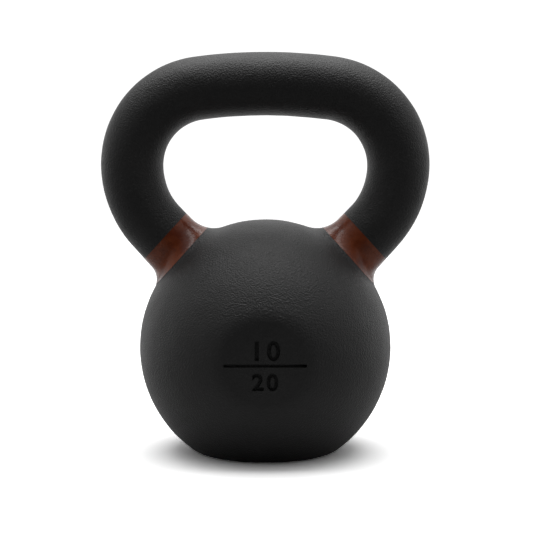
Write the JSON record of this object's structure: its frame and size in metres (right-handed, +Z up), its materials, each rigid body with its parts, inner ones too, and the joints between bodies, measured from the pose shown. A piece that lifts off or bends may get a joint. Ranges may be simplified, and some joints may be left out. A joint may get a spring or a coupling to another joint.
{
  "type": "kettlebell",
  "caption": "Kettlebell: a solid iron ball with a flat base and an arched loop handle, powder coated black, with a brown band round the root of each horn.",
  "frame": {"origin": "middle of the flat base, on the surface that the kettlebell stands on", "axes": "+Z up through the ball and the middle of the grip, X along the grip, the face that carries the weight mark looks along -Y"},
  "size_m": [0.1898, 0.1374, 0.2306],
  "materials": {
    "iron": "matte",
    "powder_coat": "matte",
    "band_enamel": "gloss"
  },
  "bodies": {
    "root": {"iron_casting": "iron", "ball_powder_coat": "powder_coat", "handle_powder_coat": "powder_coat", "left_colour_band": "band_enamel", "right_colour_band": "band_enamel"}
  },
  "joints": []
}
